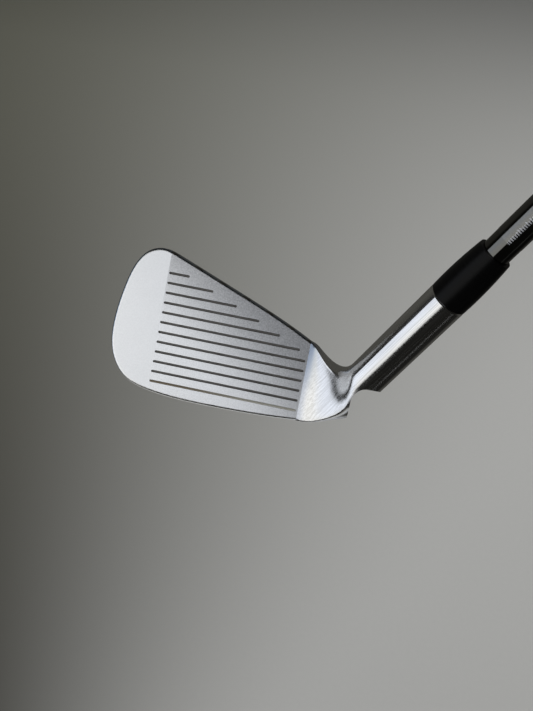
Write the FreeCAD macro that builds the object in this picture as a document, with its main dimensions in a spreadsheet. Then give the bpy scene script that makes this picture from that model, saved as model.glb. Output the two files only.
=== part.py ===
import FreeCAD, Part
import math
import os
import Sketcher

# Iron golf club, right-handed, as it stands at address: the sole on the ground z = 0, the
# face looking towards -Y, the toe towards -X and the shaft rising towards +X. The origin is
# where the shaft axis meets the ground. "Along" means the distance from the origin up the
# shaft axis. Millimetres and degrees.

V = FreeCAD.Vector
doc = FreeCAD.newDocument("iron_golf_club")

SIZES = [
    ("loft_angle", 30), ("lie_angle", 61.5),
    ("face_ahead", 5.2),              # face plane ahead of the shaft axis, at the ground
    ("first_line_z", 7.2),            # height of the lowest scoreline
    ("mask_edge", 6.7),               # heel end of the flat face, on the toe side of the origin
    ("topline_thick", 5.2), ("back_wall", 15.4), ("face_thick", 2.9),
    ("edge_radius", 0.9), ("trailing_radius", 3.5), ("cavity_radius", 3),
    ("line_pitch", 3.5), ("line_width", 0.85), ("line_floor", 0.45), ("line_depth", 0.45),
    ("line_toe", 60.0), ("paint_depth", 0.12),
    ("hosel_dia", 13.2), ("hosel_base", 31), ("hosel_top", 70),
    ("bore_dia", 9.7), ("bore_floor", 38), ("rim_chamfer", 0.35),
    ("notch_radius", 5.3), ("notch_across", 10.45), ("notch_top", 17.15), ("notch_dip", 36.5),
    ("pad_thick", 1.4), ("badge_thick", 0.9), ("pad_gap", 1.2), ("badge_gap", 2.4),
    ("weight_dia", 5.5), ("weight_length", 7), ("weight_across", 62.5), ("weight_up", 9.4),
    ("plug_head", 2.6), ("plug_stem", 12), ("plug_play", 0.05),
    ("ferrule_length", 20.8), ("ferrule_top_dia", 11.5), ("ferrule_arc", 150),
    ("tip_dia", 9.5), ("butt_dia", 15.24), ("tip_wall", 0.9), ("butt_wall", 0.4),
    ("shaft_start", 41), ("first_step", 235), ("step_count", 12), ("step_pitch", 40),
    ("step_ramp", 1.2), ("club_length", 952.5),
    ("band_start", 97), ("band_length", 112), ("band_thick", 0.06),
    ("tape_thick", 0.2), ("tape_margin", 6),
    ("grip_length", 267), ("grip_mouth_dia", 19.5), ("grip_butt_dia", 25.8),
    ("lip_height", 0.8), ("lip_width", 5), ("cap_dia", 27.4), ("cap_thick", 5),
    ("cap_edge", 1.5), ("dish_dia", 15), ("dish_depth", 1.2), ("vent_dia", 3),
]
sheet = doc.addObject("Spreadsheet::Sheet", "sizes")
for row, (alias, value) in enumerate(SIZES, start=1):
    sheet.set("A%d" % row, alias)
    sheet.set("B%d" % row, str(value))
    sheet.setAlias("B%d" % row, alias)
doc.recompute()


def size(alias):
    return float(sheet.get(alias))


LOFT = math.radians(size("loft_angle"))
LIE = math.radians(size("lie_angle"))
FACE_UP = V(0, math.sin(LOFT), math.cos(LOFT))
FACE_OUT = V(0, -math.cos(LOFT), math.sin(LOFT))
FACE_ORIGIN = V(0, size("first_line_z") * math.tan(LOFT) - size("face_ahead"), size("first_line_z"))
FACE_TURN = FreeCAD.Rotation(V(1, 0, 0), 90 - size("loft_angle"))
AXIS_TURN = FreeCAD.Rotation(V(0, 1, 0), 90 - size("lie_angle"))
AXIS = AXIS_TURN.multVec(V(0, 0, 1))
ON_AXIS = FreeCAD.Placement(V(0, 0, 0), AXIS_TURN)


def on_face(across, up, depth=0.0):
    """Point of the face plane, or behind it by depth: across along X, up the face."""
    return FACE_ORIGIN + V(across, 0, 0) + FACE_UP * up - FACE_OUT * depth


def add_shape(name, shape):
    feature = doc.addObject("Part::Feature", name)
    feature.Label = name
    feature.Shape = shape
    return feature


def plane_of(body, role):
    return next(item for item in body.Origin.OriginFeatures if item.Role == role)


def new_sketch(body, name, role):
    sketch = body.newObject("Sketcher::SketchObject", name)
    sketch.AttachmentSupport = [(plane_of(body, role), "")]
    sketch.MapMode = "FlatFace"
    return sketch


def bound_outline(sketch, corners, arcs=()):
    """Closed outline whose corners are pairs of sheet expressions. The side after a corner
    named in arcs is a bulging arc, whose radius is the expression given there."""
    arcs = dict(arcs)
    points = [V(*[float(sketch.evalExpression(formula)) for formula in corner], 0) for corner in corners]
    for index, (start, end) in enumerate(zip(points, points[1:] + points[:1])):
        side = Part.LineSegment(start, end)
        if index in arcs:
            radius = float(sketch.evalExpression(arcs[index]))
            along = end - start
            bulge = radius - math.sqrt(radius ** 2 - (along.Length / 2) ** 2)
            right = V(along.y, -along.x, 0).normalize()
            side = Part.Arc(start, (start + end) / 2 + right * bulge, end)
        sketch.addGeometry(side)
    for index in range(len(corners)):
        sketch.addConstraint(Sketcher.Constraint("Coincident", index, 2, (index + 1) % len(corners), 1))
    for index, corner in enumerate(corners):
        for kind, formula, value in zip(("DistanceX", "DistanceY"), corner, points[index]):
            number = sketch.addConstraint(Sketcher.Constraint(kind, -1, 1, index, 1, value))
            sketch.setExpression("Constraints[%d]" % number, formula)
    for index, formula in arcs.items():
        radius = float(sketch.evalExpression(formula))
        number = sketch.addConstraint(Sketcher.Constraint("Radius", index, radius))
        sketch.setExpression("Constraints[%d]" % number, formula)


def turned_body(name, corners, arcs=()):
    """Body of revolution about the shaft axis; corners are (radius, along) expressions."""
    body = doc.addObject("PartDesign::Body", name)
    body.Label = name
    sketch = new_sketch(body, name + "_profile", "XZ_Plane")
    bound_outline(sketch, corners, arcs)
    turn = body.newObject("PartDesign::Revolution", name + "_turn")
    turn.Profile = sketch
    turn.ReferenceAxis = (sketch, ["V_Axis"])
    turn.Angle = 360
    body.Tip = turn
    body.Placement = ON_AXIS
    return body


def tube_corners(inner, outer, low, high):
    return [(inner, low), (outer, low), (outer, high), (inner, high)]


def add_cylinder(name, radius, height, placement):
    cylinder = doc.addObject("Part::Cylinder", name)
    cylinder.Label = name
    cylinder.setExpression("Radius", radius)
    cylinder.setExpression("Height", height)
    cylinder.Placement = placement
    return cylinder


def rounded_outline(corners, radius):
    """Lines and arcs of a closed polygon in the XY plane with its corners rounded."""
    points = [V(x, y, 0) for x, y in corners]
    starts, ends, arcs = [], [], []
    for before, corner, after in zip(points[-1:] + points[:-1], points, points[1:] + points[:1]):
        inward = (before - corner).normalize()
        outward = (after - corner).normalize()
        half = inward.getAngle(outward) / 2
        start = corner + inward * (radius / math.tan(half))
        end = corner + outward * (radius / math.tan(half))
        bisector = (inward + outward).normalize()
        middle = corner + bisector * (radius / math.sin(half) - radius)
        arcs.append(Part.Arc(start, middle, end))
        starts.append(start)
        ends.append(end)
    lines = [Part.LineSegment(end, start) for end, start in zip(ends, starts[1:] + starts[:1])]
    return [piece for pair in zip(arcs, lines) for piece in pair]


# ---------------------------------------------------------------- club head

# Edge of the blade on the face plane, from the heel end of the topline round the toe to the
# heel end of the leading edge: (across, up the face from the lowest scoreline).
BLADE_OUTLINE = [
    (-6.7, 24.6), (-20, 30.7), (-35, 36.6), (-50, 42.3), (-58, 45.3), (-63.5, 46.6),
    (-68.2, 45.0), (-71.9, 40.4), (-74.8, 31.2), (-76.5, 18.0), (-75.6, 9.0), (-72.6, 2.8),
    (-67.8, -1.5), (-60, -3.9), (-47, -5.05), (-33, -5.05), (-20, -4.65), (-6.7, -3.6),
]
# Section of the sole: (depth behind the face plane, rise up the face from the leading edge).
SOLE_SECTION = [(0, 0), (6.15, 1.35), (11.74, 3.66), (16.65, 7.76), (20.0, 12.0)]


def blade_ring(depth, rise):
    """Blade outline at one depth; its sole side is raised, its topline and toe stay."""
    points = []
    last = len(BLADE_OUTLINE) - 1
    for index, (across, up) in enumerate(BLADE_OUTLINE):
        before = BLADE_OUTLINE[max(index - 1, 0)]
        after = BLADE_OUTLINE[min(index + 1, last)]
        run = after[0] - before[0]
        soleward = 0.5 + 0.5 * run / math.hypot(run, after[1] - before[1])
        share = soleward ** 2 * (3 - 2 * soleward)
        points.append(on_face(across, up + rise * share, depth))
    curve = Part.BSplineCurve()
    curve.interpolate(points)
    return Part.Wire([curve.toShape(), Part.makeLine(points[-1], points[0])])


def at_depth(edge, depth):
    """True where the whole edge lies at this depth behind the face plane."""
    first, last = edge.ParameterRange
    samples = [edge.valueAt(first + (last - first) * step / 6) for step in range(7)]
    return all(abs((on_face(0, 0, depth) - point).dot(FACE_OUT)) < 1e-3 for point in samples)


def make_blade():
    outer = Part.makeLoft([blade_ring(*station) for station in SOLE_SECTION], True)
    wall = size("back_wall")
    thick = size("topline_thick")
    slope = math.tan(LOFT)
    back_start = thick / math.cos(LOFT) - size("face_ahead")
    knee = (wall - back_start) / slope
    low, high, front, far = -10, 60, -20, -90
    section = [(front, low), (wall, low), (wall, knee), (back_start + high * slope, high), (front, high)]
    corners = [V(far, y, z) for y, z in section + section[:1]]
    blade = outer.common(Part.Face(Part.makePolygon(corners)).extrude(V(-far, 0, 0)))
    long_edges = [edge for edge in blade.Edges if edge.Length > 60]
    blade = blade.makeFillet(size("edge_radius"), [edge for edge in long_edges if at_depth(edge, 0)])
    trailing = [edge for edge in blade.Edges
                if edge.Length > 30 and edge.BoundBox.YMin > wall - 0.01
                and edge.BoundBox.YMax < wall + 0.01 and edge.BoundBox.ZMin < knee / 2]
    return blade.makeFillet(size("trailing_radius"), trailing)



# The neck turns from the blade's heel section into the round hosel about a line parallel to Y
# above the crotch. Each section lies in a plane through that line, at a turn from 0 at the
# blade to the full turn at the hosel, and its points are given as (reach from that line, Y).
HOSEL_RADIUS = size("hosel_dia") / 2
UP_FROM_AXIS = V(-math.sin(LIE), 0, math.cos(LIE))
AXIS_REACH = (size("hosel_base") * math.cos(LIE) + size("mask_edge")) / math.sin(LIE)
PIVOT = AXIS * size("hosel_base") + UP_FROM_AXIS * AXIS_REACH
TOPLINE_REACH = PIVOT.z - on_face(0, BLADE_OUTLINE[0][1]).z
SOLE_REACH = 37.45
# Corners of the blade's heel section: (reach, y, roundness), from the topline's front corner
# down the face, under the sole and up the back; SOLE_PULL bows the sole downwards.
HEEL_CORNERS = [(TOPLINE_REACH, 11.25, 1.2), (34.95, -2.88, 1.1), (36.4, 15.4, 4.4), (13.0, 15.76, 0.4)]
SOLE_PULL = (39.3, 8.5)
SIDE_POLES = 8
POLE_COUNT = SIDE_POLES * len(HEEL_CORNERS)
EDGE_POLE = SIDE_POLES                  # the leading edge's control point
NECK_TURNS = [0, 4, 9, 15, 21, 27, 33, 38, 42, 46, 50, 54, 58, 61.5]

TOPLINE_SLOPE = 0.195                   # of the topline, as the neck sees it
CROTCH_SINK = (3.0, 70)                 # how far the topline sinks towards the crotch, over degrees
CROTCH_SHARPNESS = 10
SOLE_RISE = (-0.03, 0.0014)             # linear and square terms of the sole's rise, per degree
HEEL_BLEND = (20, 56)                   # degrees where the heel starts and ends turning up the hosel
REACH_BLEND = (0, 50)                   # the same for the section's height,
DEPTH_BLEND = (6, 58)                   # for its depth,
EDGE_BLEND = (0, 50)                    # and for the leading edge's own path
EDGE_WIDTH = 5.0                        # control points either side that follow the edge
EDGE_SHIFT = (42, 7.0)                  # degrees that brings the edge to the hosel's front, and spread
FACE_HOLD = 0.7                         # how closely the neck starts out in the plane of the face


def ease(low, high, value):
    """0 up to low, 1 from high on, smooth between."""
    share = min(max((value - low) / (high - low), 0.0), 1.0)
    return share * share * (3 - 2 * share)


def blend(first, second, share):
    return first + (second - first) * share


def inner_reach(turn):
    """Topline running into the crotch, blended into the hosel's inner line."""
    sink, sink_turn = CROTCH_SINK
    topline = TOPLINE_REACH / (math.cos(turn) - TOPLINE_SLOPE * math.sin(turn))
    topline += sink * math.sin(math.pi * math.degrees(turn) / sink_turn) ** 2
    hosel = (AXIS_REACH - HOSEL_RADIUS) / math.cos(LIE - turn)
    if turn >= LIE - 1e-6:
        return hosel
    return (topline ** -CROTCH_SHARPNESS + hosel ** -CROTCH_SHARPNESS) ** (-1 / CROTCH_SHARPNESS)


def outer_reach(turn):
    """Sole curving up round the heel into the hosel's outer line."""
    angle = math.degrees(turn)
    heel = SOLE_REACH - SOLE_RISE[0] * angle - SOLE_RISE[1] * angle ** 2
    hosel = (AXIS_REACH + HOSEL_RADIUS) / math.cos(LIE - turn)
    return blend(heel, hosel, ease(*HEEL_BLEND, angle))


def heel_poles():
    """Control points of the heel section, SIDE_POLES from each corner to the next."""
    poles = []
    for index, (reach, y, soft) in enumerate(HEEL_CORNERS):
        next_reach, next_y, next_soft = HEEL_CORNERS[(index + 1) % len(HEEL_CORNERS)]
        length = math.hypot(next_reach - reach, next_y - y)
        first, last = soft / length, 1 - next_soft / length
        for step in range(SIDE_POLES):
            share = 0 if step == 0 else first + (last - first) * (step - 1) / (SIDE_POLES - 2)
            bow = 2 * share * (1 - share) if index == 1 else 0
            point = [reach + (next_reach - reach) * share, y + (next_y - y) * share]
            middle = ((reach + next_reach) / 2, (y + next_y) / 2)
            poles.append([value + bow * (pull - mid)
                          for value, pull, mid in zip(point, SOLE_PULL, middle)])
    return poles


def near_edge(index, width):
    """1 at the leading edge's control point, falling to 0 either side of it."""
    steps = (index - EDGE_POLE + POLE_COUNT // 2) % POLE_COUNT - POLE_COUNT // 2
    return math.exp(-(steps / width) ** 2)


def round_hosel(index):
    """Angle round the hosel of a control point, from its crotch side by the front."""
    shift, spread = EDGE_SHIFT
    return math.radians(45 + 360 * index / POLE_COUNT - shift * near_edge(index, spread))


def neck_section(angle):
    """Control points of the neck's closed section at one turn."""
    turn = math.radians(angle)
    inner, outer = inner_reach(turn), outer_reach(turn)
    stretch = (outer - inner) / (SOLE_REACH - TOPLINE_REACH)
    down = V(math.sin(turn), 0, -math.cos(turn))
    points = []
    for index, (reach, y) in enumerate(heel_poles()):
        edge = near_edge(index, EDGE_WIDTH)
        edge_share = ease(*EDGE_BLEND, angle)
        reach_share = blend(ease(*REACH_BLEND, angle), edge_share, edge)
        depth_share = blend(ease(*DEPTH_BLEND, angle), edge_share, edge)
        spacing = (round_hosel(index + 1) - round_hosel(index - 1)) / 2
        fullness = 3 / (2 + math.cos(spacing))
        blade_reach = inner + (reach - TOPLINE_REACH) * stretch
        round_reach = (inner + outer) / 2 - fullness * (outer - inner) / 2 * math.cos(round_hosel(index))
        round_y = -fullness * HOSEL_RADIUS * math.sin(round_hosel(index))
        new_reach = blend(blade_reach, round_reach, reach_share)
        on_plane = y + math.tan(LOFT) * (reach - new_reach * math.cos(turn))
        blade_y = blend(y, on_plane, FACE_HOLD * (1 - edge))
        points.append(PIVOT + down * new_reach + V(0, blend(blade_y, round_y, depth_share), 0))
    return points


def make_neck():
    """Smooth skin through all the neck's sections, run on as the straight hosel."""
    lengthwise = []
    for line in zip(*[neck_section(angle) for angle in NECK_TURNS]):
        curve = Part.BSplineCurve()
        curve.interpolate(Points=list(line), Parameters=[float(angle) for angle in NECK_TURNS])
        lengthwise.append(curve)
    count = len(lengthwise)
    skin = Part.BSplineSurface()
    skin.buildFromPolesMultsKnots(
        [curve.getPoles() for curve in lengthwise],
        [1] * (count + 1), lengthwise[0].getMultiplicities(),
        [float(knot) for knot in range(count + 1)], lengthwise[0].getKnots(), True, False, 3, 3)
    side = skin.toShape()
    rings = [edge for edge in side.Edges if not edge.isSeam(side)]
    heel_ring, hosel_ring = sorted(rings, key=lambda edge: edge.CenterOfMass.x)
    bevel = size("rim_chamfer")
    rise = AXIS * (size("hosel_top") - size("hosel_base") - bevel)
    tube = hosel_ring.extrude(rise)
    shoulder = hosel_ring.translated(rise)
    rim = hosel_ring.translated(rise + AXIS * bevel)
    rim = rim.scaled(1 - bevel / HOSEL_RADIUS, AXIS * size("hosel_top"))
    edge_face = Part.makeLoft([Part.Wire([shoulder]), Part.Wire([rim])], False, True)
    ends = [Part.Face(Part.Wire([ring])) for ring in (heel_ring, rim)]
    shell = Part.makeShell([side, tube] + edge_face.Faces + ends)
    shell.sewShape()
    return Part.makeSolid(shell)


def face_solid(outline, depth, length):
    """Straight-sided solid: an outline parallel to the face, from a depth backwards."""
    wire = Part.Wire([piece.toShape() for piece in outline])
    solid = Part.Face(wire).extrude(V(0, 0, -length))
    solid.Placement = FreeCAD.Placement(on_face(0, 0, depth), FACE_TURN)
    return solid


def scoreline_shape(heel_end, up, top_depth, bottom_depth):
    """One scoreline between two depths: rounded ends, and sides that slope in as they go down."""
    toe_end = -size("line_toe")
    slope = (size("line_width") - size("line_floor")) / 2 / size("line_depth")
    rings = []
    for depth in (top_depth, bottom_depth):
        half = size("line_width") / 2 - slope * depth
        left, right = toe_end + size("line_width") / 2, heel_end - size("line_width") / 2
        upper = Part.LineSegment(V(left, half, -depth), V(right, half, -depth))
        heel = Part.Arc(V(right, half, -depth), V(right + half, 0, -depth), V(right, -half, -depth))
        lower = Part.LineSegment(V(right, -half, -depth), V(left, -half, -depth))
        toe = Part.Arc(V(left, -half, -depth), V(left - half, 0, -depth), V(left, half, -depth))
        rings.append(Part.Wire([piece.toShape() for piece in (upper, heel, lower, toe)]))
    solid = Part.makeLoft(rings, True, True)
    solid.Placement = FreeCAD.Placement(on_face(0, up), FACE_TURN)
    return solid


def make_notch():
    """Corner cut from the heel side of the hosel's foot, square walls with a round corner."""
    dip = math.radians(size("notch_dip"))
    radius = size("notch_radius")
    left, top = size("notch_across"), size("notch_top")
    reach = 40
    middle = radius * (1 - math.cos(math.pi / 4))
    arc = Part.Arc(V(left, top - radius, 0), V(left + middle, top - middle, 0), V(left + radius, top, 0))
    corners = [V(left + radius, top, 0), V(reach, top, 0), V(reach, -reach, 0), V(left, -reach, 0),
               V(left, top - radius, 0)]
    lines = [Part.makeLine(start, end) for start, end in zip(corners, corners[1:])]
    solid = Part.Face(Part.Wire([arc.toShape()] + lines)).extrude(V(0, 0, -2 * reach))
    turn = FreeCAD.Rotation(V(1, 0, 0), 90 - size("notch_dip"))
    solid.Placement = FreeCAD.Placement(V(0, -reach * math.cos(dip), reach * math.sin(dip)), turn)
    return solid


# Corners of the back cavity seen square to the face: (across, up).
CAVITY = [(-17.5, 12.0), (-17.5, 24.0), (-57.5, 40.5), (-67.5, 40.0), (-70.5, 22.0), (-65.0, 14.0)]
# Heel end of each scoreline: the lowest ones all reach the mask edge, the others the topline.
LINE_HEELS = [-7.3] * 6 + [-9.9, -17.7, -25.7, -34.4, -43.5, -52.6]


def face_plate(name, gap, thickness, depth):
    """Flat plate in the cavity, parallel to the face, its outline drawn in by the gap."""
    face = Part.Face(Part.makePolygon([V(x, y, 0) for x, y in CAVITY + CAVITY[:1]]))
    corners = [vertex.Point for vertex in face.makeOffset2D(-size(gap)).OuterWire.OrderedVertexes]
    body = doc.addObject("PartDesign::Body", name)
    body.Label = name
    sketch = new_sketch(body, name + "_outline", "XY_Plane")
    for piece in rounded_outline([(point.x, point.y) for point in corners], size("cavity_radius") / 2):
        sketch.addGeometry(piece)
    pad = body.newObject("PartDesign::Pad", name + "_pad")
    pad.Profile = sketch
    pad.setExpression("Length", "sizes." + thickness)
    body.Tip = pad
    body.Placement = FreeCAD.Placement(on_face(0, 0, depth), FACE_TURN)
    return body


def combine(kind, name, **links):
    feature = doc.addObject(kind, name)
    feature.Label = name
    for role, value in links.items():
        setattr(feature, role, value)
    return feature


def make_club_head():
    blank = combine("Part::Fuse", "head_blank", Base=add_shape("blade_blank", make_blade()),
                    Tool=add_shape("neck_blank", make_neck()))
    lines = [scoreline_shape(heel, index * size("line_pitch"), 0, size("line_depth"))
             for index, heel in enumerate(LINE_HEELS)]
    cavity = rounded_outline(CAVITY, size("cavity_radius"))
    bore_start = FreeCAD.Placement(AXIS * size("bore_floor"), AXIS_TURN)
    seat_centre = V(-size("weight_across"), size("back_wall"), size("weight_up"))
    seat = FreeCAD.Placement(seat_centre, FreeCAD.Rotation(V(1, 0, 0), 90))
    cuts = combine("Part::MultiFuse", "head_cuts", Shapes=[
        add_shape("scoreline_cuts", Part.makeCompound(lines)),
        add_shape("notch_cut", make_notch()),
        add_shape("cavity_cut", face_solid(cavity, size("face_thick"), size("hosel_top"))),
        add_cylinder("bore_cut", "sizes.bore_dia / 2", "sizes.hosel_top", bore_start),
        add_cylinder("weight_cut", "sizes.weight_dia / 2", "sizes.weight_length", seat),
    ])
    head = combine("Part::Cut", "club_head", Base=blank, Tool=cuts)
    weight = add_cylinder("toe_weight", "sizes.weight_dia / 2", "sizes.weight_length", seat)
    return [head, weight]


# ---------------------------------------------------------------- pieces in and on the head

def make_head_fittings():
    paint = scoreline_shape(LINE_HEELS[0], 0, size("paint_depth"), size("line_depth"))
    pad_depth = size("face_thick") + size("pad_thick")
    badge_depth = pad_depth + size("badge_thick")
    plug_top = "sizes.shaft_start + sizes.plug_stem"
    stem = "sizes.tip_dia / 2 - sizes.tip_wall - sizes.plug_play"
    plug = [("0", "sizes.shaft_start - sizes.plug_head"),
            ("sizes.tip_dia / 2", "sizes.shaft_start - sizes.plug_head"),
            ("sizes.tip_dia / 2", "sizes.shaft_start"), (stem, "sizes.shaft_start"),
            (stem, plug_top), ("0", plug_top)]
    bond = tube_corners("sizes.tip_dia / 2", "sizes.bore_dia / 2", "sizes.shaft_start", "sizes.hosel_top")
    base, top = "sizes.hosel_top", "sizes.hosel_top + sizes.ferrule_length"
    ferrule = [("sizes.tip_dia / 2", base), ("sizes.hosel_dia / 2 - sizes.rim_chamfer", base),
               ("sizes.hosel_dia / 2", base + " + sizes.rim_chamfer"),
               ("sizes.ferrule_top_dia / 2", top), ("sizes.tip_dia / 2", top)]
    return [
        add_shape("scoreline_paint", paint),
        face_plate("damping_pad", "pad_gap", "pad_thick", pad_depth),
        face_plate("cavity_badge", "badge_gap", "badge_thick", badge_depth),
        turned_body("tip_weight", plug),
        turned_body("shaft_epoxy", bond),
        turned_body("ferrule", ferrule, {2: "sizes.ferrule_arc"}),
    ]


# ---------------------------------------------------------------- shaft and grip

def make_shaft():
    """Tube that widens in equal steps from the tip to the butt, with a smooth tapered bore."""
    end = "sizes.club_length - sizes.cap_thick"
    full_bore = "sizes.first_step + sizes.step_pitch * (sizes.step_count + 1)"
    outer = [("sizes.tip_dia / 2", "sizes.shaft_start")]
    for step in range(int(size("step_count"))):
        foot = "sizes.first_step + sizes.step_pitch * %d" % step
        growth = "sizes.tip_dia / 2 + (sizes.butt_dia - sizes.tip_dia) / 2 / sizes.step_count * %d"
        outer.append((growth % step, foot))
        outer.append((growth % (step + 1), foot + " + sizes.step_ramp"))
    outer.append(("sizes.butt_dia / 2", end))
    inner = [("sizes.butt_dia / 2 - sizes.butt_wall", end),
             ("sizes.butt_dia / 2 - sizes.butt_wall", full_bore),
             ("sizes.tip_dia / 2 - sizes.tip_wall", "sizes.first_step"),
             ("sizes.tip_dia / 2 - sizes.tip_wall", "sizes.shaft_start")]
    return turned_body("shaft", outer + inner)


def make_shaft_coverings():
    end = "sizes.club_length - sizes.cap_thick"
    mouth = "sizes.club_length - sizes.grip_length"
    band = tube_corners("sizes.tip_dia / 2", "sizes.tip_dia / 2 + sizes.band_thick",
                        "sizes.band_start", "sizes.band_start + sizes.band_length")
    tape_outer = "sizes.butt_dia / 2 + sizes.tape_thick"
    tape = tube_corners("sizes.butt_dia / 2", tape_outer, mouth + " + sizes.tape_margin", end)
    lip = "sizes.grip_mouth_dia / 2 + sizes.lip_height"
    lip_end = mouth + " + sizes.lip_width"
    grip = [(tape_outer, mouth), ("sizes.grip_mouth_dia / 2", mouth), (lip, mouth + " + sizes.lip_height"),
            (lip, lip_end), ("sizes.grip_mouth_dia / 2", lip_end + " + sizes.lip_height"),
            ("sizes.grip_butt_dia / 2", end), (tape_outer, end)]
    dish_floor = "sizes.club_length - sizes.dish_depth"
    cap = [("sizes.vent_dia / 2", end), ("sizes.grip_butt_dia / 2", end),
           ("sizes.cap_dia / 2", end + " + sizes.cap_edge / 2"),
           ("sizes.cap_dia / 2", "sizes.club_length - sizes.cap_edge"),
           ("sizes.cap_dia / 2 - sizes.cap_edge", "sizes.club_length"),
           ("sizes.dish_dia / 2", "sizes.club_length"),
           ("sizes.dish_dia / 2 - sizes.dish_depth", dish_floor), ("sizes.vent_dia / 2", dish_floor)]
    return [turned_body("shaft_band", band), turned_body("grip_tape", tape),
            turned_body("grip", grip), turned_body("grip_cap", cap)]


nodes = make_club_head() + make_head_fittings() + [make_shaft()] + make_shaft_coverings()
doc.recompute()

for item in doc.Objects:
    faults = [state for state in item.State if state in ("Invalid", "Error")]
    if faults:
        raise RuntimeError("%s is %s" % (item.Name, faults))
for node in nodes:
    if node.Shape.isNull() or not node.Shape.isValid() or len(node.Shape.Solids) != 1:
        raise RuntimeError("bad shape: " + node.Label)

os.makedirs("parts", exist_ok=True)
for node in nodes:
    node.Shape.exportStep("parts/%s.step" % node.Label)
    print("%-16s %10.1f mm3" % (node.Label, node.Shape.Volume))
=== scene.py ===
"""Looks of the iron golf club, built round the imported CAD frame."""

import math

import bpy
from mathutils import Matrix, Vector

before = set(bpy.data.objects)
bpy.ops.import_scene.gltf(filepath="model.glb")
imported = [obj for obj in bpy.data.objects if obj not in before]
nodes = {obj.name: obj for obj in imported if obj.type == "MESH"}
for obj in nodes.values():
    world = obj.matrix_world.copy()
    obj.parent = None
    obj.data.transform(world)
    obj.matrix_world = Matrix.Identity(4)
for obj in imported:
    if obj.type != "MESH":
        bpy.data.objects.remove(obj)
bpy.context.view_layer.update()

LIE = math.radians(61.5)
LOFT = math.radians(30)
AXIS = Vector((math.cos(LIE), 0, math.sin(LIE)))
CROTCHWARD = Vector((-math.sin(LIE), 0, math.cos(LIE)))
TICK_PITCH = 0.0008
TIP_END = 0.150                                  # end along the axis of the shaft's tip that is painted dark as painted shade
LINE_WIDTH = 0.00085
TOE_EDGE = 0.0603                                # toe and heel ends of the blasted zone
MASK_EDGE = 0.0067
LINE_PITCH = 0.0035
FACE_POINT = Vector((0, -0.00104, 0.0072))       # foot of the lowest scoreline, x = 0
FACE_UP = Vector((0, math.sin(LOFT), math.cos(LOFT)))
FACE_OUT = Vector((0, -math.cos(LOFT), math.sin(LOFT)))
FACE_SKIN = 0.00003                              # still counted as the flat face, below its plane
GROOVE_REACH = 0.0012                            # no painted shade deeper than this behind the face plane
BORDER = 0.0001                                  # half width of a zone's painted border
TICK_FOOT = 0.0006                               # the ticks' start, across the shaft
DIMPLE_PITCH = 0.0042                            # rows of dimples along the grip
DIMPLE_COLUMNS = 20
RING_PITCH = 0.090                               # plain rings among the dimples, and half their width
RING_HALF = 0.0035
SENSOR = 36.0                                    # long side of the camera's sensor, mm
FOCAL_RATIO = 900 / 711                          # focal length over the picture's height
CAMERA_PLACE = Vector((0.003804, -0.248834, 0.199859))
CAMERA_RIGHT = Vector((0.97707, 0.17690, 0.11849))
CAMERA_UP = Vector((-0.19764, 0.54655, 0.81377))
FLOOR_HALF = 6.0
FLOOR_LEVEL = -0.35                              # the club is held above the floor
FLOOR_DARK_BEARING = -0.55                       # from here leftwards the painted shade on the paper is at its darkest
FLOOR_PALE_BEARING = 0.50
BACKDROP = (0.55, 0.55, 0.53, 1)


# ---------------------------------------------------------------- node helpers

class Graph:
    """Short way to write a shader's node tree."""

    def __init__(self, tree):
        self.tree = tree
        self.tree.nodes.clear()

    def add(self, kind, inputs=None, **settings):
        node = self.tree.nodes.new(kind)
        for key, value in settings.items():
            setattr(node, key, value)
        for key, value in (inputs or {}).items():
            self.feed(node, key, value)
        return node

    def feed(self, node, key, value):
        if isinstance(value, bpy.types.NodeSocket):
            self.tree.links.new(value, node.inputs[key])
        else:
            node.inputs[key].default_value = value

    def math(self, operation, *values, clamp=False):
        node = self.add("ShaderNodeMath", operation=operation, use_clamp=clamp)
        for index, value in enumerate(values):
            self.feed(node, index, value)
        return node.outputs[0]

    def ramp(self, value, low, high, start=0.0, end=1.0, smooth=True):
        kind = "SMOOTHSTEP" if smooth else "LINEAR"
        node = self.add("ShaderNodeMapRange", {0: value, 1: low, 2: high, 3: start, 4: end},
                        interpolation_type=kind, clamp=True)
        return node.outputs[0]

    def blend(self, share, first, second):
        node = self.add("ShaderNodeMix", data_type="RGBA")
        for key, value in ((0, share), (6, first), (7, second)):
            self.feed(node, key, value)
        return node.outputs[2]

    def noise(self, vector, scale, detail=3.0, roughness=0.55):
        node = self.add("ShaderNodeTexNoise", {"Vector": vector, "Scale": scale, "Detail": detail,
                                               "Roughness": roughness})
        return node.outputs[0]

    def lengthwise(self, stretch, squeeze=1.0):
        """Object coordinates turned so Z runs along the shaft, then scaled along and across it."""
        place = self.add("ShaderNodeTexCoord").outputs["Object"]
        turned = self.add("ShaderNodeVectorRotate", {"Vector": place, "Axis": (0, 1, 0),
                                                     "Angle": LIE - math.pi / 2})
        scaled = self.add("ShaderNodeVectorMath", {0: turned.outputs[0], 1: (squeeze, squeeze, stretch)},
                          operation="MULTIPLY")
        return scaled.outputs[0]

    def along(self, direction, origin=Vector()):
        """Distance in metres along a direction, from a point of the object."""
        place = self.add("ShaderNodeTexCoord").outputs["Object"]
        shifted = self.add("ShaderNodeVectorMath", {0: place, 1: tuple(origin)}, operation="SUBTRACT")
        dot = self.add("ShaderNodeVectorMath", {0: shifted.outputs[0], 1: tuple(direction)},
                       operation="DOT_PRODUCT")
        return dot.outputs["Value"]


def material(name):
    made = bpy.data.materials.new(name)
    made.use_nodes = True
    graph = Graph(made.node_tree)
    shader = graph.add("ShaderNodeBsdfPrincipled")
    output = graph.add("ShaderNodeOutputMaterial")
    graph.tree.links.new(shader.outputs[0], output.inputs[0])
    return made, graph, shader


def dress(node, made):
    mesh = nodes[node].data
    mesh.materials.clear()
    mesh.materials.append(made)


# ---------------------------------------------------------------- materials

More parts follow.
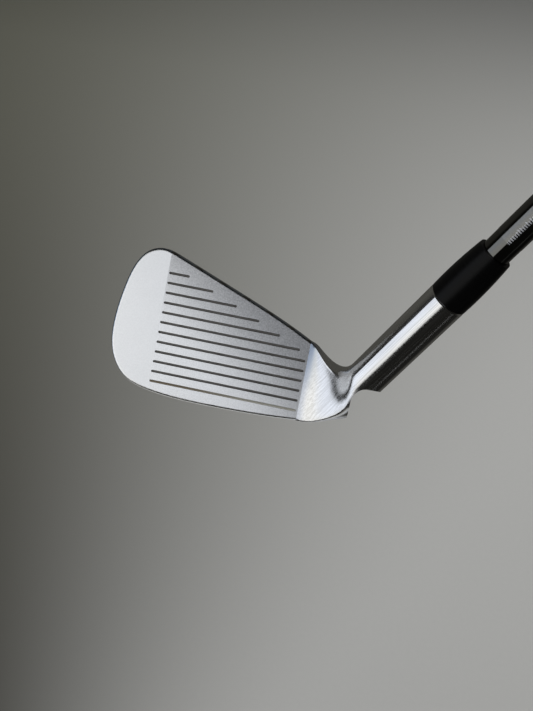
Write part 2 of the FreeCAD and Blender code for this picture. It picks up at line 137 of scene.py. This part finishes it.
def head_steel():
    """One steel casting in three finishes, with painted shade in the scorelines.

    The blasted zone is painted lighter towards the toe and the sole, and the polished zone bluer
    at its upper left. Both stand in for the way light falls on a real one.
    """
    made, graph, shader = material("head_steel")
    place = graph.add("ShaderNodeTexCoord").outputs["Object"]
    depth = graph.along(FACE_OUT, FACE_POINT)
    up = graph.along(FACE_UP, FACE_POINT)
    across = graph.along((1, 0, 0))
    flat = graph.math("GREATER_THAN", depth, -FACE_SKIN)
    toeward = graph.ramp(across, -TOE_EDGE - BORDER, -TOE_EDGE + BORDER, 1.0, 0.0)
    heelward = graph.math("GREATER_THAN", across, -MASK_EDGE)
    outside = graph.math("MAXIMUM", toeward, heelward)
    blasted = graph.math("MULTIPLY", flat, graph.math("SUBTRACT", 1.0, outside))
    satin = graph.math("MULTIPLY", flat, toeward)
    row = graph.math("PINGPONG", up, LINE_PITCH / 2)
    groove = graph.math("LESS_THAN", row, LINE_WIDTH / 2 + BORDER)
    groove_limits = (("LESS_THAN", across, -MASK_EDGE), ("GREATER_THAN", across, -TOE_EDGE),
                     ("GREATER_THAN", up, -LINE_WIDTH), ("GREATER_THAN", depth, -GROOVE_REACH),
                     ("SUBTRACT", 1.0, flat))
    for limit in groove_limits:
        groove = graph.math("MULTIPLY", groove, graph.math(*limit))

    speckle = graph.noise(place, 2300.0, 2.0, 0.75)
    cloud = graph.noise(place, 130.0, 4.0)
    brushing = graph.noise(graph.lengthwise(0.02), 2400.0, 3.0, 0.7)
    nicks = graph.ramp(graph.noise(place, 330.0, 2.0, 0.6), 0.735, 0.76)

    streaks = graph.ramp(brushing, 0.3, 0.7)
    polished = graph.blend(streaks, (0.64, 0.64, 0.63, 1), (0.86, 0.86, 0.86, 1))
    toe = graph.blend(cloud, (0.92, 0.92, 0.91, 1), (0.97, 0.97, 0.96, 1))
    toe = graph.blend(graph.ramp(speckle, 0.3, 0.7, 0.0, 0.25), toe, (0.70, 0.70, 0.70, 1))
    # painted reflection: the polished zone is painted bluer toeward of the hosel and higher up, standing in
    # for a reflection
    painted_reflection_share = graph.ramp(across, -MASK_EDGE, -0.0005, 1.0, 0.0)
    painted_reflection_blue = graph.blend(painted_reflection_share, polished, (0.36, 0.41, 0.48, 1))
    polished = graph.blend(graph.ramp(up, 0.002, 0.022), polished, painted_reflection_blue)
    colour = graph.blend(satin, polished, toe)
    # painted light and shade: the blasted zone's colour runs from a shaded dark grey at the heel and top to
    # a lit near-white towards the toe and sole
    slant = graph.math("MULTIPLY_ADD", across, -0.75, graph.math("MULTIPLY", up, -1.0))
    painted_light_ramp = graph.ramp(slant, -0.020, 0.028)
    dark = graph.blend(painted_light_ramp, (0.34, 0.34, 0.345, 1), (0.88, 0.88, 0.875, 1))
    light = graph.blend(painted_light_ramp, (0.54, 0.54, 0.545, 1), (1.0, 1.0, 0.99, 1))
    blast = graph.blend(graph.ramp(speckle, 0.32, 0.68), dark, light)
    blast = graph.blend(graph.math("MULTIPLY", nicks, 0.6), blast, (0.80, 0.80, 0.80, 1))
    colour = graph.blend(blasted, colour, blast)
    # painted shade: the scorelines are painted dark, standing in for the shade inside the grooves
    painted_groove_shade = graph.blend(cloud, (0.12, 0.11, 0.10, 1), (0.26, 0.25, 0.23, 1))
    colour = graph.blend(groove, colour, painted_groove_shade)
    graph.feed(shader, "Base Color", colour)
    rough = graph.ramp(brushing, 0.25, 0.75, 0.15, 0.24)
    grit = graph.math("MULTIPLY_ADD", painted_light_ramp, -0.10, 0.44)
    for share, value in ((satin, 0.33), (blasted, grit), (groove, 0.5)):
        change = graph.math("SUBTRACT", value, rough)
        rough = graph.math("MULTIPLY_ADD", share, change, rough)
    graph.feed(shader, "Roughness", rough)
    shader.inputs["Metallic"].default_value = 1.0
    grain = graph.math("MULTIPLY", speckle, graph.math("MULTIPLY_ADD", blasted, 0.9, 0.1))
    grain = graph.math("SUBTRACT", grain, graph.math("MULTIPLY", nicks, blasted))
    bump = graph.add("ShaderNodeBump", {"Height": grain, "Strength": 0.3, "Distance": 0.00004})
    graph.feed(shader, "Normal", bump.outputs[0])
    return made


def line_paint():
    """Cream paint in the lowest line, worn and stained towards the toe."""
    made, graph, shader = material("white_paint")
    across = graph.along((1, 0, 0))
    grain = graph.noise(graph.add("ShaderNodeTexCoord").outputs["Object"], 1500.0, 4.0)
    stain = graph.blend(grain, (0.30, 0.22, 0.14, 1), (0.55, 0.46, 0.33, 1))
    cream = graph.blend(grain, (0.80, 0.78, 0.66, 1), (0.95, 0.93, 0.82, 1))
    graph.feed(shader, "Base Color", graph.blend(graph.ramp(across, -0.050, -0.020), stain, cream))
    graph.feed(shader, "Roughness", graph.ramp(grain, 0.2, 0.8, 0.35, 0.6))
    bump = graph.add("ShaderNodeBump", {"Height": grain, "Strength": 0.3, "Distance": 0.00005})
    graph.feed(shader, "Normal", bump.outputs[0])
    return made


def gloss_plastic():
    """Turned and polished black ferrule with faint turning rings."""
    made, graph, shader = material("black_plastic")
    rings = graph.noise(graph.lengthwise(12.0, 0.05), 120.0, 2.0)
    colour = graph.blend(rings, (0.002, 0.002, 0.002, 1), (0.006, 0.006, 0.006, 1))
    graph.feed(shader, "Base Color", colour)
    graph.feed(shader, "Roughness", graph.ramp(rings, 0.3, 0.7, 0.28, 0.40))
    shader.inputs["Specular IOR Level"].default_value = 0.12
    bump = graph.add("ShaderNodeBump", {"Height": rings, "Strength": 0.08, "Distance": 0.00005})
    graph.feed(shader, "Normal", bump.outputs[0])
    return made


def chrome():
    """Plated shaft, with fine polishing marks along it and a few specks, and painted shade darkening its
    tip.
    """
    made, graph, shader = material("chrome_steel")
    marks = graph.noise(graph.lengthwise(0.01), 1800.0, 3.0, 0.65)
    specks = graph.ramp(graph.noise(graph.lengthwise(1.0), 700.0, 2.0), 0.72, 0.78)
    colour = graph.blend(marks, (0.56, 0.56, 0.55, 1), (0.70, 0.70, 0.69, 1))
    # painted shade: the shaft is painted near-black up to TIP_END along the axis
    tip = graph.ramp(graph.along(AXIS), TIP_END, TIP_END + 0.0002)
    dark = graph.blend(marks, (0.11, 0.11, 0.105, 1), (0.16, 0.16, 0.15, 1))
    colour = graph.blend(tip, dark, colour)
    graph.feed(shader, "Base Color", graph.blend(specks, colour, (0.30, 0.29, 0.27, 1)))
    rough = graph.ramp(marks, 0.25, 0.75, 0.035, 0.09)
    graph.feed(shader, "Roughness", graph.math("MULTIPLY_ADD", specks, 0.2, rough))
    shader.inputs["Metallic"].default_value = 1.0
    return made


def printed_film():
    """Smoked clear film with plain silver tick marks of uneven height in one row."""
    made, graph, shader = material("printed_film")
    along = graph.along(AXIS)
    side = graph.along(CROTCHWARD)
    front = graph.along((0, -1, 0))
    step = graph.math("FLOOR", graph.math("DIVIDE", along, TICK_PITCH))
    random = graph.add("ShaderNodeTexWhiteNoise", {"W": step}, noise_dimensions="1D").outputs["Value"]
    local = graph.math("FRACT", graph.math("DIVIDE", along, TICK_PITCH))
    high = graph.math("MULTIPLY_ADD", random, 0.0007, 0.0016)
    tick = graph.math("MULTIPLY", graph.math("LESS_THAN", local, 0.55), graph.math("LESS_THAN", side, high))
    tick = graph.math("MULTIPLY", tick, graph.math("GREATER_THAN", side, TICK_FOOT))
    tick = graph.math("MULTIPLY", tick, graph.math("GREATER_THAN", front, 0.0))
    grain = graph.noise(graph.lengthwise(1.0), 1500.0, 3.0)
    film = graph.blend(grain, (0.13, 0.13, 0.125, 1), (0.20, 0.20, 0.19, 1))
    ink = graph.blend(grain, (0.70, 0.72, 0.78, 1), (0.95, 0.96, 1.0, 1))
    graph.feed(shader, "Base Color", graph.blend(tick, film, ink))
    graph.feed(shader, "Metallic", graph.math("SUBTRACT", 1.0, graph.math("MULTIPLY", tick, 0.7)))
    graph.feed(shader, "Roughness", graph.math("MULTIPLY_ADD", tick, 0.3, 0.08))
    return made


def rubber(name, colour, pattern):
    """Matt moulded rubber; the pattern is rows of small dimples round the grip."""
    made, graph, shader = material(name)
    place = graph.add("ShaderNodeTexCoord").outputs["Object"]
    grain = graph.noise(place, 1100.0, 4.0, 0.65)
    along = graph.along(AXIS)
    turn = graph.math("ARCTAN2", graph.along(CROTCHWARD), graph.along((0, -1, 0)))
    ring = graph.math("SINE", graph.math("MULTIPLY", along, 2 * math.pi / DIMPLE_PITCH))
    spoke = graph.math("COSINE", graph.math("MULTIPLY", turn, float(DIMPLE_COLUMNS)))
    diamond = graph.math("MULTIPLY", ring, spoke)
    dimples = graph.ramp(diamond, 0.15, 0.6)
    plain = graph.math("COMPARE", graph.math("PINGPONG", along, RING_PITCH / 2), RING_PITCH / 2, RING_HALF)
    share = graph.math("SUBTRACT", pattern, graph.math("MULTIPLY", plain, pattern))
    dimples = graph.math("MULTIPLY", dimples, share)
    height = graph.math("MULTIPLY_ADD", grain, 0.12, graph.math("MULTIPLY", dimples, -1.0))
    dark = tuple(value * 0.65 for value in colour)
    shade = graph.blend(grain, (*dark, 1), (*colour, 1))
    # painted shade: the dimples are painted darker than the rubber around them, as shade in the hollows
    graph.feed(shader, "Base Color", graph.blend(graph.math("MULTIPLY", dimples, 0.6), shade, (*dark, 1)))
    graph.feed(shader, "Roughness", graph.ramp(grain, 0.2, 0.8, 0.55, 0.8))
    bump = graph.add("ShaderNodeBump", {"Height": height, "Strength": 0.7, "Distance": 0.0004})
    graph.feed(shader, "Normal", bump.outputs[0])
    return made


def grained(name, colour, roughness, metallic=0.0, stretch=1.0, scale=1400.0):
    """Plain finish with visible grain: brushed where stretch is small, sandy where it is 1."""
    made, graph, shader = material(name)
    grain = graph.noise(graph.lengthwise(stretch), scale, 3.0, 0.65)
    dark = tuple(value * 0.72 for value in colour)
    graph.feed(shader, "Base Color", graph.blend(grain, (*dark, 1), (*colour, 1)))
    graph.feed(shader, "Roughness", graph.ramp(grain, 0.25, 0.75, roughness * 0.75, roughness * 1.25))
    shader.inputs["Metallic"].default_value = metallic
    bump = graph.add("ShaderNodeBump", {"Height": grain, "Strength": 0.2, "Distance": 0.00005})
    graph.feed(shader, "Normal", bump.outputs[0])
    return made


# ---------------------------------------------------------------- stage and camera

def add_camera():
    data = bpy.data.cameras.new("camera")
    data.sensor_width = SENSOR
    data.lens = SENSOR * FOCAL_RATIO
    camera = bpy.data.objects.new("camera", data)
    bpy.context.scene.collection.objects.link(camera)
    back = CAMERA_RIGHT.cross(CAMERA_UP)
    turn = Matrix((CAMERA_RIGHT, CAMERA_UP, back)).transposed().to_4x4()
    camera.matrix_world = Matrix.Translation(CAMERA_PLACE) @ turn
    data.clip_start = 0.01
    bpy.context.scene.camera = camera


def add_world():
    """Studio surroundings for reflections, by direction.

    A large soft window in front on the left, a dim wall behind, a thin strip low on the right and
    a weaker patch straight below. Matt surfaces get a quarter of it, and the camera sees a plain
    backdrop.
    """
    world = bpy.data.worlds.new("studio")
    bpy.context.scene.world = world
    world.use_nodes = True
    graph = Graph(world.node_tree)
    toward = graph.add("ShaderNodeTexCoord").outputs["Generated"]

    def side(normal, low, high):
        """1 on the side of a plane through the middle that its normal points to."""
        unit = Vector(normal).normalized()
        dot = graph.add("ShaderNodeVectorMath", {0: toward, 1: tuple(unit)}, operation="DOT_PRODUCT")
        return graph.ramp(dot.outputs["Value"], low, high)

    window = side((-0.763, 0.179, 0.621), -0.03, 0.05)
    window_sides = (((0, -1, 0), 0.17, 0.24), ((0, 0, -1), -0.72, -0.56), ((0, 0, 1), -0.68, -0.60))
    for limit in window_sides:
        window = graph.math("MULTIPLY", window, side(*limit))
    leftward = graph.add("ShaderNodeVectorMath", {0: toward, 1: (-1, 0, -0.25)},
                         operation="DOT_PRODUCT").outputs["Value"]
    core = graph.ramp(leftward, -0.12, 0.32, 0.84, 1.10)
    window = graph.math("MULTIPLY", window, core)
    wall = graph.ramp(side((0, 1, 0.1), -0.1, 0.5), 0.0, 1.0, 0.012, 0.075)
    strip_normal = Vector((0.405, 0.887, -0.220))
    strip = graph.math("MULTIPLY", side(strip_normal, -0.025, -0.012), side(-strip_normal, -0.012, 0.0))
    strip = graph.math("MULTIPLY", strip, side((0.4, 0, -0.9), 0.3, 0.5))
    below = side((0, 0, -1), 0.70, 0.86)
    below = graph.math("MULTIPLY", below, side((-1, 0, 0), -0.26, -0.10))
    level = graph.math("ADD", window, wall)
    level = graph.math("MULTIPLY_ADD", below, 0.5, level)
    level = graph.math("ADD", level, graph.math("MULTIPLY", strip, 0.3))
    off_middle = graph.math("ABSOLUTE", graph.math("SUBTRACT", leftward, 0.45))
    cool = graph.ramp(off_middle, 0.1, 0.5)
    white = graph.blend(cool, (1.0, 1.0, 0.985, 1), (0.90, 0.95, 1.05, 1))
    tint = graph.blend(graph.ramp(level, 0.1, 0.45), (1.0, 0.98, 0.88, 1), white)
    paths = graph.add("ShaderNodeLightPath").outputs
    dimmed = graph.math("MULTIPLY_ADD", paths["Is Diffuse Ray"], -0.75, 1.0)
    strength = graph.math("MULTIPLY", level, dimmed)
    lit = graph.add("ShaderNodeBackground", {"Color": tint, "Strength": strength})
    seen = graph.add("ShaderNodeBackground", {"Color": BACKDROP, "Strength": 1.0})
    mix = graph.add("ShaderNodeMixShader",
                    {0: paths["Is Camera Ray"], 1: lit.outputs[0], 2: seen.outputs[0]})
    output = graph.add("ShaderNodeOutputWorld")
    graph.tree.links.new(mix.outputs[0], output.inputs[0])


def floor_paper():
    """Pale paper with painted shade on the left, darkest near the club and fading out in front of it."""
    made, graph, shader = material("floor_paper")
    across = graph.along((1, 0, 0), (-0.10, 0, 0))
    away = graph.along((0, 1, 0), (0, -0.15, 0))
    bearing = graph.math("DIVIDE", across, graph.math("MAXIMUM", away, 0.2))
    share = graph.math("MAXIMUM", graph.ramp(bearing, FLOOR_DARK_BEARING, FLOOR_PALE_BEARING),
                       graph.ramp(away, 0.20, -0.45))
    grain = graph.noise(graph.add("ShaderNodeTexCoord").outputs["Object"], 260.0, 3.0)
    pale = graph.blend(grain, (0.60, 0.60, 0.585, 1), (0.63, 0.63, 0.61, 1))
    # painted shade: the paper is painted dark left of the club, darkest close to it and lighter further
    # away
    near = graph.blend(grain, (0.060, 0.058, 0.048, 1), (0.066, 0.064, 0.052, 1))
    far = graph.blend(grain, (0.20, 0.20, 0.158, 1), (0.21, 0.21, 0.167, 1))
    grey = graph.blend(graph.ramp(away, 0.15, 1.6, smooth=False), near, far)
    graph.feed(shader, "Base Color", graph.blend(share, grey, pale))
    graph.feed(shader, "Roughness", graph.ramp(grain, 0.2, 0.8, 0.85, 0.95))
    return made


def add_floor():
    mesh = bpy.data.meshes.new("floor")
    signs = ((-1, -1), (1, -1), (1, 1), (-1, 1))
    corners = [(x * FLOOR_HALF, y * FLOOR_HALF, FLOOR_LEVEL) for x, y in signs]
    mesh.from_pydata(corners, [], [(0, 1, 2, 3)])
    floor = bpy.data.objects.new("floor", mesh)
    bpy.context.scene.collection.objects.link(floor)
    mesh.materials.append(floor_paper())
    floor.visible_glossy = False


def add_area(name, place, target, width, height, power):
    data = bpy.data.lights.new(name, "AREA")
    data.shape = "RECTANGLE"
    data.size, data.size_y = width, height
    data.energy = power
    light = bpy.data.objects.new(name, data)
    bpy.context.scene.collection.objects.link(light)
    light.location = place
    light.rotation_mode = "QUATERNION"
    light.rotation_quaternion = (Vector(target) - Vector(place)).to_track_quat("-Z", "Y")
    light.visible_camera = False
    light.visible_glossy = False


dress("club_head", head_steel())
dress("scoreline_paint", line_paint())
dress("ferrule", gloss_plastic())
dress("shaft", chrome())
dress("shaft_band", printed_film())
dress("grip", rubber("grip_rubber", (0.030, 0.030, 0.031), 1.0))
dress("grip_cap", rubber("cap_rubber", (0.028, 0.028, 0.029), 0.0))
dress("damping_pad", grained("pad_rubber", (0.035, 0.035, 0.037), 0.7))
dress("cavity_badge", grained("badge", (0.46, 0.46, 0.47), 0.28, 1.0, 0.02))
dress("toe_weight", grained("tungsten", (0.36, 0.36, 0.37), 0.35, 1.0))
dress("tip_weight", grained("brass_plug", (0.72, 0.56, 0.28), 0.3, 1.0))
dress("shaft_epoxy", grained("epoxy", (0.70, 0.64, 0.50), 0.3))
dress("grip_tape", grained("tape", (0.80, 0.76, 0.62), 0.8))

add_camera()
add_world()
add_floor()
add_area("floor_wash", (0.22, 0.72, 1.95), (0.18, 0.36, -0.35), 0.9, 0.9, 32.0)
bpy.context.scene.view_settings.view_transform = "Standard"
